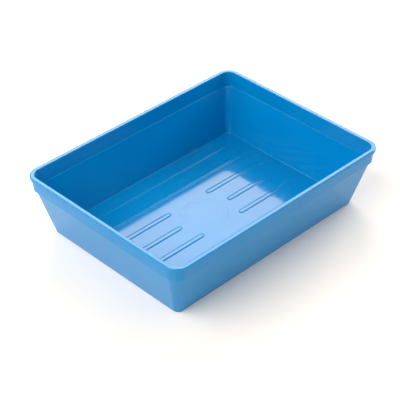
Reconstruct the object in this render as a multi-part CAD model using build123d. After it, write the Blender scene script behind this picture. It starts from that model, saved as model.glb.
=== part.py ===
from build123d import *
import math
import os

# A hospital instrument tray: one open-topped polypropylene moulding.
# Origin at the middle of the base, +X along the long side, +Z up, millimetres.
# An "inset" is how far a surface lies inside the outermost edge of the lip.

# Overall size, measured over the lip
LENGTH = 270.0
WIDTH = 203.4
HEIGHT = 65.5

# Lip: the bead that runs round the top
LIP_PROUD = 1.5
LIP_HEIGHT = 3.9
LIP_CORNER_RADIUS = 14.0
LIP_TOP_ROUNDING = 1.2
LIP_UNDER_ROUNDING = 0.6
RIM_WIDTH = 4.6
RIM_INNER_ROUNDING = 0.9

# Collar: the steep band below the lip, which stands proud of the wall outside and leaves a ledge inside
COLLAR_DEPTH = 15.5
COLLAR_FOOT_INSET = 2.5
COLLAR_FOOT_ROUNDING = 0.4
LEDGE_WIDTH = 1.1
LEDGE_ROUNDING = 0.4

# Tapered walls
WALL_TAPER = 0.266  # sideways travel per millimetre of height
WALL_THICKNESS = 2.7  # measured level, through the tapered part
WALL_TOP_CORNER_RADIUS = 11.3
BASE_INSET = 17.2
BASE_CORNER_RADIUS = 6.0
BASE_EDGE_ROUNDING = 1.2

# Floor
FLOOR_THICKNESS = 2.8
FLOOR_CORNER_RADIUS = 5.0
FLOOR_FILLET = 1.0

# Ribs on the floor, all running along X
RIB_PITCH = 22.5
RIB_CREST_WIDTH = 2.8
RIB_HEIGHT = 0.5
RIB_FLANK_ANGLE = 32.0  # steepest slope of a rib's side, in degrees
RIB_FOOT_ANGLE = 3.0  # slope at which the side runs out into the floor, in degrees
RIB_REACH = 97.0  # from the tray's middle to a rib's outer tip
SPLIT_ROWS = {0: 31.1, 1: 24.1, -1: 24.1}  # rows that stop at the disc, with the place of their inner tips
FULL_ROWS = (2, 3, -2, -3)
RIB_ROOT = 0.5  # how far a rib's solid runs down into the floor

# Shallow disc in the middle of the floor, over the gate, inside a slightly shallower ring
DISC_RADIUS = 18.8
DISC_DEPTH = 0.14
RING_RADIUS = 22.75
RING_DEPTH = 0.06
DISH_EDGE_WIDTH = 0.15  # level width of the sloping edge round the disc and the ring

# Gate mark in the underside
GATE_RECESS_RADIUS = 7.0
GATE_RECESS_DEPTH = 0.8
GATE_NUB_RADIUS = 1.5
GATE_NUB_HEIGHT = 0.5

CLEAR = 5.0  # how far a cutting solid runs past the surface it opens
LEVEL_TOLERANCE = 0.001
STANDING = (Align.CENTER, Align.CENTER, Align.MIN)


def outline(inset, radius, z):
    """Rounded rectangle parallel to the lip's edge, inset from it, at height z."""
    length = LENGTH - 2 * inset
    width = WIDTH - 2 * inset
    return Plane.XY.offset(z) * RectangleRounded(length, width, radius)


def tapered(lower, upper):
    """Straight-sided solid between two outlines, each given as (inset, radius, z)."""
    return loft([outline(*lower), outline(*upper)], ruled=True)


def level_edges(solid, z):
    """Edges of a solid that lie flat at height z."""
    return solid.edges().filter_by_position(Axis.Z, z - LEVEL_TOLERANCE, z + LEVEL_TOLERANCE)


# Heights and insets that follow from the driving dimensions
lip_foot_z = HEIGHT - LIP_HEIGHT
collar_foot_z = HEIGHT - COLLAR_DEPTH
wall_top_inset = BASE_INSET - WALL_TAPER * collar_foot_z
ledge_inner_inset = wall_top_inset + WALL_THICKNESS
ledge_outer_inset = ledge_inner_inset - LEDGE_WIDTH
floor_inset = BASE_INSET - WALL_TAPER * FLOOR_THICKNESS + WALL_THICKNESS

# A rib's side is two arcs of one radius, outwards at the crest and inwards at the foot. Their drops add up
# to the rib's height.
crest_arc_drop = 1 - math.cos(math.radians(RIB_FLANK_ANGLE))
foot_arc_drop = math.cos(math.radians(RIB_FOOT_ANGLE)) - math.cos(math.radians(RIB_FLANK_ANGLE))
rib_flank_radius = RIB_HEIGHT / (crest_arc_drop + foot_arc_drop)


def outer_shell():
    """The solid outside of the tray: tapered body, collar and lip."""
    base = (BASE_INSET, BASE_CORNER_RADIUS, 0)
    wall_top = (wall_top_inset, WALL_TOP_CORNER_RADIUS, collar_foot_z)
    collar_foot = (COLLAR_FOOT_INSET, LIP_CORNER_RADIUS - COLLAR_FOOT_INSET, collar_foot_z)
    collar_top = (LIP_PROUD, LIP_CORNER_RADIUS - LIP_PROUD, lip_foot_z)

    body = tapered(base, wall_top)
    body = fillet(level_edges(body, 0), BASE_EDGE_ROUNDING)

    collar = tapered(collar_foot, collar_top)
    collar = fillet(level_edges(collar, collar_foot_z), COLLAR_FOOT_ROUNDING)

    lip = extrude(outline(0, LIP_CORNER_RADIUS, lip_foot_z), LIP_HEIGHT)
    lip = fillet(level_edges(lip, HEIGHT), LIP_TOP_ROUNDING)
    lip = fillet(level_edges(lip, lip_foot_z), LIP_UNDER_ROUNDING)
    return body + collar + lip


def cavity():
    """The space inside the tray, up to the top of the lip."""
    floor = (floor_inset, FLOOR_CORNER_RADIUS, FLOOR_THICKNESS)
    ledge = (ledge_inner_inset, LIP_CORNER_RADIUS - ledge_outer_inset, collar_foot_z)
    collar_foot = (ledge_outer_inset, LIP_CORNER_RADIUS - ledge_outer_inset, collar_foot_z)
    mouth = (RIM_WIDTH, LIP_CORNER_RADIUS - RIM_WIDTH, HEIGHT)

    well = tapered(floor, ledge)
    well = fillet(level_edges(well, FLOOR_THICKNESS), FLOOR_FILLET)
    return well + tapered(collar_foot, mouth)


def rib_section():
    """Half of a rib's cross-section in the XZ plane, with the middle of its crest at the origin."""
    top = (RIB_CREST_WIDTH / 2, 0)
    shoulder = JernArc(top, (1, 0), rib_flank_radius, -RIB_FLANK_ANGLE)
    foot = JernArc(shoulder @ 1, shoulder % 1, rib_flank_radius, RIB_FLANK_ANGLE - RIB_FOOT_ANGLE)
    root = (foot @ 1) - Vector(0, RIB_ROOT)
    border = [
        Line((0, 0), top),
        shoulder,
        foot,
        Line(foot @ 1, root),
        Line(root, (0, root.Y)),
        Line((0, root.Y), (0, 0)),
    ]
    return Plane.XZ * make_face(border)


def rib(start, end, y):
    """One raised bar with rounded ends, from x = start to x = end."""
    half = rib_section()
    half_width = half.bounding_box().max.X
    first = start + half_width
    last = end - half_width

    side = Rot(0, 0, 90) * half
    shaft = extrude(side + mirror(side, Plane.XZ), last - first, dir=(1, 0, 0))
    tip = revolve(half, Axis.Z, 180)
    bar = Pos(first, 0, 0) * shaft
    bar += Pos(first, 0, 0) * Rot(0, 0, 90) * tip
    bar += Pos(last, 0, 0) * Rot(0, 0, -90) * tip
    return Pos(0, y, FLOOR_THICKNESS + RIB_HEIGHT) * bar


def floor_ribs():
    """Seven rows of ribs; the middle three rows stop short of the disc."""
    bars = []
    for row, start in SPLIT_ROWS.items():
        bars.append(rib(start, RIB_REACH, row * RIB_PITCH))
        bars.append(rib(-RIB_REACH, -start, row * RIB_PITCH))
    for row in FULL_ROWS:
        bars.append(rib(-RIB_REACH, RIB_REACH, row * RIB_PITCH))
    return bars


def dish(radius, depth):
    """Shallow round recess in the floor with a sloping edge."""
    spread = DISH_EDGE_WIDTH / depth
    foot_radius = radius - DISH_EDGE_WIDTH
    height = depth + CLEAR
    cone = Cone(foot_radius, foot_radius + spread * height, height, align=STANDING)
    return Pos(0, 0, FLOOR_THICKNESS - depth) * cone


def gate_mark():
    """Round recess in the underside, with the nub of the gate left standing in it."""
    recess = Cylinder(GATE_RECESS_RADIUS, GATE_RECESS_DEPTH, align=STANDING)
    nub = Cylinder(GATE_NUB_RADIUS, GATE_NUB_HEIGHT, align=STANDING)
    return recess - Pos(0, 0, GATE_RECESS_DEPTH - GATE_NUB_HEIGHT) * nub


def opening_edges(solid, z):
    """Edges of every opening in the broadest flat face at height z."""
    level_faces = solid.faces().filter_by(Axis.Z)
    faces = level_faces.filter_by_position(Axis.Z, z - LEVEL_TOLERANCE, z + LEVEL_TOLERANCE)
    broadest = faces.sort_by(SortBy.AREA)[-1]
    return [edge for wire in broadest.inner_wires() for edge in wire.edges()]


def make_tray():
    """The whole moulding, as one solid."""
    tray = outer_shell() - cavity()
    tray = fillet(opening_edges(tray, HEIGHT), RIM_INNER_ROUNDING)
    tray = fillet(opening_edges(tray, collar_foot_z), LEDGE_ROUNDING)

    for bar in floor_ribs():
        tray += bar

    tray -= dish(RING_RADIUS, RING_DEPTH)
    tray -= dish(DISC_RADIUS, DISC_DEPTH)
    tray -= gate_mark()
    return tray


os.makedirs("parts", exist_ok=True)
tray = make_tray()
tray.label = "tray"
export_step(tray, "parts/tray.step")
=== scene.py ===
import math

import bpy
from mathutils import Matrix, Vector


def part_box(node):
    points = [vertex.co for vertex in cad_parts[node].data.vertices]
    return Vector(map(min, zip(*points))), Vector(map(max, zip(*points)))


# A blue hospital instrument tray on a plain pale sheet.
# Metres throughout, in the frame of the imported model.

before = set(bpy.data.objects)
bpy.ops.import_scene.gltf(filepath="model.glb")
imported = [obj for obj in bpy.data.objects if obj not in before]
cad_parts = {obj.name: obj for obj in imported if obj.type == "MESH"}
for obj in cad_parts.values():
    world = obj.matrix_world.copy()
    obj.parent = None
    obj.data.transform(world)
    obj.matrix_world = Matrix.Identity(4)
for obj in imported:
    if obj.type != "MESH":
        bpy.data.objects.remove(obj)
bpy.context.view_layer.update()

# Camera: a long lens, held level, looking down at one corner of the tray
VIEW_AZIMUTH = math.radians(-44.67)  # turn of the camera round the tray from its front, which faces -Y
VIEW_ELEVATION = math.radians(36.62)
VIEW_DISTANCE = 1.300
VIEW_TARGET = Vector((-0.0035, 0.0034, 0.0186))
LENS_MM = 122.7
SENSOR_MM = 36.0

# Studio: soft boxes that all stand this far from the middle of the tray's base. A box's brightness is the
# power of each square metre of its face, divided by pi.
LIGHT_DISTANCE = 1.6
LIGHT_COLOUR = (1.0, 0.96, 0.91)
ROOM_BRIGHTNESS = 0.32
# name: (degrees round from +X towards +Y, degrees up, width, height, brightness)
SOFT_BOXES = {
    "sheen": (48, 39, 0.9, 0.64, 5.9),  # behind the tray: the pale reflection on its floor and rim
    "back": (115, 30, 1.7, 1.0, 2.3),  # pale edges on the far side
    "key": (177, 48, 1.3, 1.2, 4.6),  # from the left: a bright end wall
    "front": (262, 10, 1.7, 0.5, 1.6),  # outside walls
    "right": (325, 28, 1.9, 0.7, 1.2),  # keeps the shadow pale
    "end": (3, 26, 0.9, 0.5, 8),  # from the right, so the shadow is shorter at that end
}

# Floor of the studio: a pale sheet with a faint grain
FLOOR_SIZE = 8.0
FLOOR_WHITE = (0.89, 0.87, 0.84, 1)
FLOOR_SHADE = (0.86, 0.84, 0.81, 1)
FLOOR_ROUGHNESS = 0.55
GRAINS_PER_METRE = 1500

# Plastic: glossy blue polypropylene, in two close blues and the paler one of its scratches and wear
BLUE = (0.0, 0.233, 0.545, 1)
BLUE_DEEP = (0.0, 0.216, 0.525, 1)
BLUE_SCUFFED = (0.04, 0.28, 0.58, 1)
PLASTIC_IOR = 1.43
GLOSS_ROUGHNESS = 0.065

# Each irregular pattern is a noise from 0 to 1. Its range is the noise at which the pattern starts and the
# noise at which it is full. Its detail is how many finer layers the noise has. Its seed picks another part
# of the noise.
PLAIN_DETAIL = 2.0

# Cloudy pigment: a deeper blue, and a slightly rougher surface
CLOUDS_PER_METRE = 16
CLOUD_DETAIL = 3.0
CLOUD_RANGE = (0.3, 0.7)
CLOUD_ROUGHNESS = 0.03

# Flow rings: faint rings of deeper blue round the gate
FLOW_WAVE_SCALE = 26  # the wave texture's own scale, which makes about 83 rings in a metre
FLOW_STRENGTH = 0.15
FLOW_DISTORTION = 2.5
FLOW_DETAIL = 2.0
FLOW_DETAIL_SCALE = 1.5

# Orange peel and the broader waves where the plastic sank as it cooled
PEEL_PER_METRE = 420
PEEL_DEPTH = 0.0000015
SINK_PER_METRE = 22
SINK_DEPTH = 0.00004
SINK_DETAIL = 1.0
SINK_SEED = 7.0

# Scratches lie in patches, mostly on the floor of the tray. Every set runs along X, because its noise is
# stretched before it is turned. The turn only makes one set differ from another.
# (turn of the noise in degrees, scratches per metre of Y, scratches per metre of X, seed)
SCRATCH_SETS = [
    (6, 2600, 34, 1.0),
    (71, 2300, 45, 5.0),
    (-33, 2900, 38, 9.0),
]
SCRATCH_DEPTH = 0.000006
SCRATCH_ROUGHNESS = 0.22
SCRATCH_PALENESS = 0.6
SCRATCH_DETAIL = 1.0
SCRATCH_RANGE = (0.66, 0.72)
PATCHES_PER_METRE = 19
PATCH_RANGE = (0.5, 0.62)
FLOOR_REGION_TOP = 0.006  # below this height the scratches are at their strongest
WALL_REGION_START = 0.014  # above this height they are at their weakest
WALL_SHARE = 0.2  # their strength there, against 1 on the floor

# Wear: rubbed patches on the lip, from this far below its top and strongest at the top
LIP_WEAR_HEIGHT = 0.0012
WEAR_PER_METRE = 90
WEAR_DETAIL = 4.0
WEAR_RANGE = (0.48, 0.7)
WEAR_SEED = 3.0
WEAR_ROUGHNESS = 0.12
WEAR_PALENESS = 0.5


def pointing(azimuth, elevation):
    """Unit vector at an azimuth round from +X towards +Y and an elevation above the floor, in radians."""
    level = math.cos(elevation)
    return Vector((level * math.cos(azimuth), level * math.sin(azimuth), math.sin(elevation)))


def facing_back(away):
    """Rotation of a camera or lamp that stands in this direction from its target and looks back at it."""
    return away.to_track_quat("Z", "Y").to_euler()


def link(thing):
    """Put an object in the scene, and give it back."""
    bpy.context.scene.collection.objects.link(thing)
    return thing


def add_camera():
    front = -math.pi / 2
    away = pointing(front + VIEW_AZIMUTH, VIEW_ELEVATION)
    data = bpy.data.cameras.new("camera")
    data.lens = LENS_MM
    data.sensor_width = SENSOR_MM
    camera = link(bpy.data.objects.new("camera", data))
    camera.location = VIEW_TARGET + away * VIEW_DISTANCE
    camera.rotation_euler = facing_back(away)
    bpy.context.scene.camera = camera


def add_soft_box(name, azimuth, elevation, width, height, brightness):
    """Rectangular soft box aimed at the tray, which the camera doesn't see."""
    data = bpy.data.lights.new(name, "AREA")
    data.shape = "RECTANGLE"
    data.size = width
    data.size_y = height
    data.energy = brightness * math.pi * width * height
    data.color = LIGHT_COLOUR
    away = pointing(math.radians(azimuth), math.radians(elevation))
    light = link(bpy.data.objects.new(name, data))
    light.location = away * LIGHT_DISTANCE
    light.rotation_euler = facing_back(away)
    light.visible_camera = False


def add_room_light():
    """Even light from all round, in the soft boxes' colour."""
    world = bpy.data.worlds.new("studio")
    world.use_nodes = True
    background = world.node_tree.nodes["Background"]
    background.inputs["Color"].default_value = (*LIGHT_COLOUR, 1)
    background.inputs["Strength"].default_value = ROOM_BRIGHTNESS
    bpy.context.scene.world = world


def new_material(name):
    """A material, with the shader that its surface uses."""
    material = bpy.data.materials.new(name)
    material.use_nodes = True
    return material, material.node_tree.nodes["Principled BSDF"]


def feed(tree, socket, value):
    """Link an input to another node's output, or set it to a plain value."""
    if isinstance(value, bpy.types.NodeSocket):
        tree.links.new(value, socket)
    else:
        socket.default_value = value


def add_node(tree, kind, settings=None, **inputs):
    """A node with its settings and its inputs. An underscore in an input's name stands for a space."""
    made = tree.nodes.new(kind)
    for key, value in (settings or {}).items():
        setattr(made, key, value)
    for key, value in inputs.items():
        feed(tree, made.inputs[key.replace("_", " ")], value)
    return made


def calculate(tree, operation, first, second):
    """Result of one sum, product or other operation on two sockets or numbers."""
    made = tree.nodes.new("ShaderNodeMath")
    made.operation = operation
    for socket, value in zip(made.inputs, (first, second)):
        feed(tree, socket, value)
    return made.outputs["Value"]


def blended(tree, amount, first, second):
    """Colour that goes from the first to the second as the amount goes from 0 to 1."""
    mix = add_node(tree, "ShaderNodeMixRGB", Fac=amount, Color1=first, Color2=second)
    return mix.outputs["Color"]


def ramp(tree, value, start, full):
    """0 up to the start, 1 from the full value on, straight between; full may be the lower of the two."""
    made = add_node(tree, "ShaderNodeMapRange", Value=value, From_Min=start, From_Max=full)
    return made.outputs["Result"]


def noise(tree, position, per_metre, detail=PLAIN_DETAIL, seed=0.0):
    """Soft irregular pattern from 0 to 1, with this many features in a metre."""
    moved = add_node(tree, "ShaderNodeMapping", Vector=position, Location=(seed, seed, seed))
    made = add_node(
        tree,
        "ShaderNodeTexNoise",
        Vector=moved.outputs["Vector"],
        Scale=per_metre,
        Detail=detail,
    )
    return made.outputs["Fac"]


def height_above_base(tree, position):
    return add_node(tree, "ShaderNodeSeparateXYZ", Vector=position).outputs["Z"]


def scratch_set(tree, position, turn, across, along, seed):
    """Thin broken lines that all run along X, gathered in patches; 1 on a line and 0 off it."""
    stretched = add_node(
        tree,
        "ShaderNodeMapping",
        Vector=position,
        Location=(seed, seed, seed),
        Rotation=(0, 0, math.radians(turn)),
        Scale=(along, across, along),
    )
    streaks = add_node(
        tree,
        "ShaderNodeTexNoise",
        Vector=stretched.outputs["Vector"],
        Scale=1.0,
        Detail=SCRATCH_DETAIL,
    )
    lines = ramp(tree, streaks.outputs["Fac"], *SCRATCH_RANGE)
    patches = ramp(tree, noise(tree, position, PATCHES_PER_METRE, seed=seed), *PATCH_RANGE)
    return calculate(tree, "MULTIPLY", lines, patches)


def all_scratches(tree, position):
    """Every set of scratches together, strong on the floor and weak on the walls."""
    strongest = 0.0
    for settings in SCRATCH_SETS:
        strongest = calculate(tree, "MAXIMUM", strongest, scratch_set(tree, position, *settings))
    on_floor = ramp(tree, height_above_base(tree, position), WALL_REGION_START, FLOOR_REGION_TOP)
    share = calculate(tree, "MAXIMUM", on_floor, WALL_SHARE)
    return calculate(tree, "MULTIPLY", strongest, share)


def lip_wear(tree, position, lip_top):
    """Patchy rubbing on the top of the lip, where trays are stacked and slid."""
    near_top = ramp(tree, height_above_base(tree, position), lip_top - LIP_WEAR_HEIGHT, lip_top)
    uneven = noise(tree, position, WEAR_PER_METRE, detail=WEAR_DETAIL, seed=WEAR_SEED)
    return calculate(tree, "MULTIPLY", near_top, ramp(tree, uneven, *WEAR_RANGE))


def flow_rings(tree, position):
    """Faint rings where the plastic flowed out from the gate in the middle of the floor."""
    rings = add_node(
        tree,
        "ShaderNodeTexWave",
        {"wave_type": "RINGS", "rings_direction": "Z"},
        Vector=position,
        Scale=FLOW_WAVE_SCALE,
        Distortion=FLOW_DISTORTION,
        Detail=FLOW_DETAIL,
        Detail_Scale=FLOW_DETAIL_SCALE,
    )
    return calculate(tree, "MULTIPLY", rings.outputs["Fac"], FLOW_STRENGTH)


def bumped(tree, height, depth, below=None):
    """Normal of a surface that stands up by depth metres where height is 1, on top of another normal."""
    made = add_node(tree, "ShaderNodeBump", Height=height, Distance=depth, Strength=1.0)
    if below is not None:
        tree.links.new(below, made.inputs["Normal"])
    return made.outputs["Normal"]


def tray_plastic(lip_top):
    """The tray's plastic; lip_top is the height of the lip's top, where it is worn."""
    material, surface = new_material("blue_polypropylene")
    tree = material.node_tree
    position = add_node(tree, "ShaderNodeTexCoord").outputs["Object"]

    clouds = ramp(tree, noise(tree, position, CLOUDS_PER_METRE, detail=CLOUD_DETAIL), *CLOUD_RANGE)
    scratches = all_scratches(tree, position)
    wear = lip_wear(tree, position, lip_top)
    scratch_paleness = calculate(tree, "MULTIPLY", scratches, SCRATCH_PALENESS)
    wear_paleness = calculate(tree, "MULTIPLY", wear, WEAR_PALENESS)
    paleness = calculate(tree, "MAXIMUM", scratch_paleness, wear_paleness)

    depth_of_blue = calculate(tree, "ADD", clouds, flow_rings(tree, position))
    colour = blended(tree, depth_of_blue, BLUE, BLUE_DEEP)
    colour = blended(tree, paleness, colour, BLUE_SCUFFED)
    tree.links.new(colour, surface.inputs["Base Color"])

    cloud_roughness = calculate(tree, "MULTIPLY", clouds, CLOUD_ROUGHNESS)
    scratch_roughness = calculate(tree, "MULTIPLY", scratches, SCRATCH_ROUGHNESS)
    wear_roughness = calculate(tree, "MULTIPLY", wear, WEAR_ROUGHNESS)
    roughness = calculate(tree, "ADD", cloud_roughness, GLOSS_ROUGHNESS)
    roughness = calculate(tree, "ADD", roughness, scratch_roughness)
    roughness = calculate(tree, "ADD", roughness, wear_roughness)
    tree.links.new(roughness, surface.inputs["Roughness"])

    sink = noise(tree, position, SINK_PER_METRE, detail=SINK_DETAIL, seed=SINK_SEED)
    normal = bumped(tree, sink, SINK_DEPTH)
    normal = bumped(tree, noise(tree, position, PEEL_PER_METRE), PEEL_DEPTH, normal)
    normal = bumped(tree, scratches, -SCRATCH_DEPTH, normal)
    tree.links.new(normal, surface.inputs["Normal"])

    surface.inputs["IOR"].default_value = PLASTIC_IOR
    return material


def floor_paper():
    """The pale sheet under the tray, with its grain."""
    material, surface = new_material("floor_paper")
    tree = material.node_tree
    position = add_node(tree, "ShaderNodeTexCoord").outputs["Object"]
    grain = noise(tree, position, GRAINS_PER_METRE)
    tree.links.new(blended(tree, grain, FLOOR_WHITE, FLOOR_SHADE), surface.inputs["Base Color"])
    surface.inputs["Roughness"].default_value = FLOOR_ROUGHNESS
    return material


def add_floor():
    bpy.ops.mesh.primitive_plane_add(size=FLOOR_SIZE)
    floor = bpy.context.object
    floor.name = "floor"
    floor.data.materials.append(floor_paper())


add_camera()
for name, settings in SOFT_BOXES.items():
    add_soft_box(name, *settings)
add_room_light()
add_floor()

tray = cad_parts["tray"]
tray_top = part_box("tray")[1][2]
tray.data.materials[0] = tray_plastic(tray_top)

bpy.context.scene.view_settings.view_transform = "Standard"
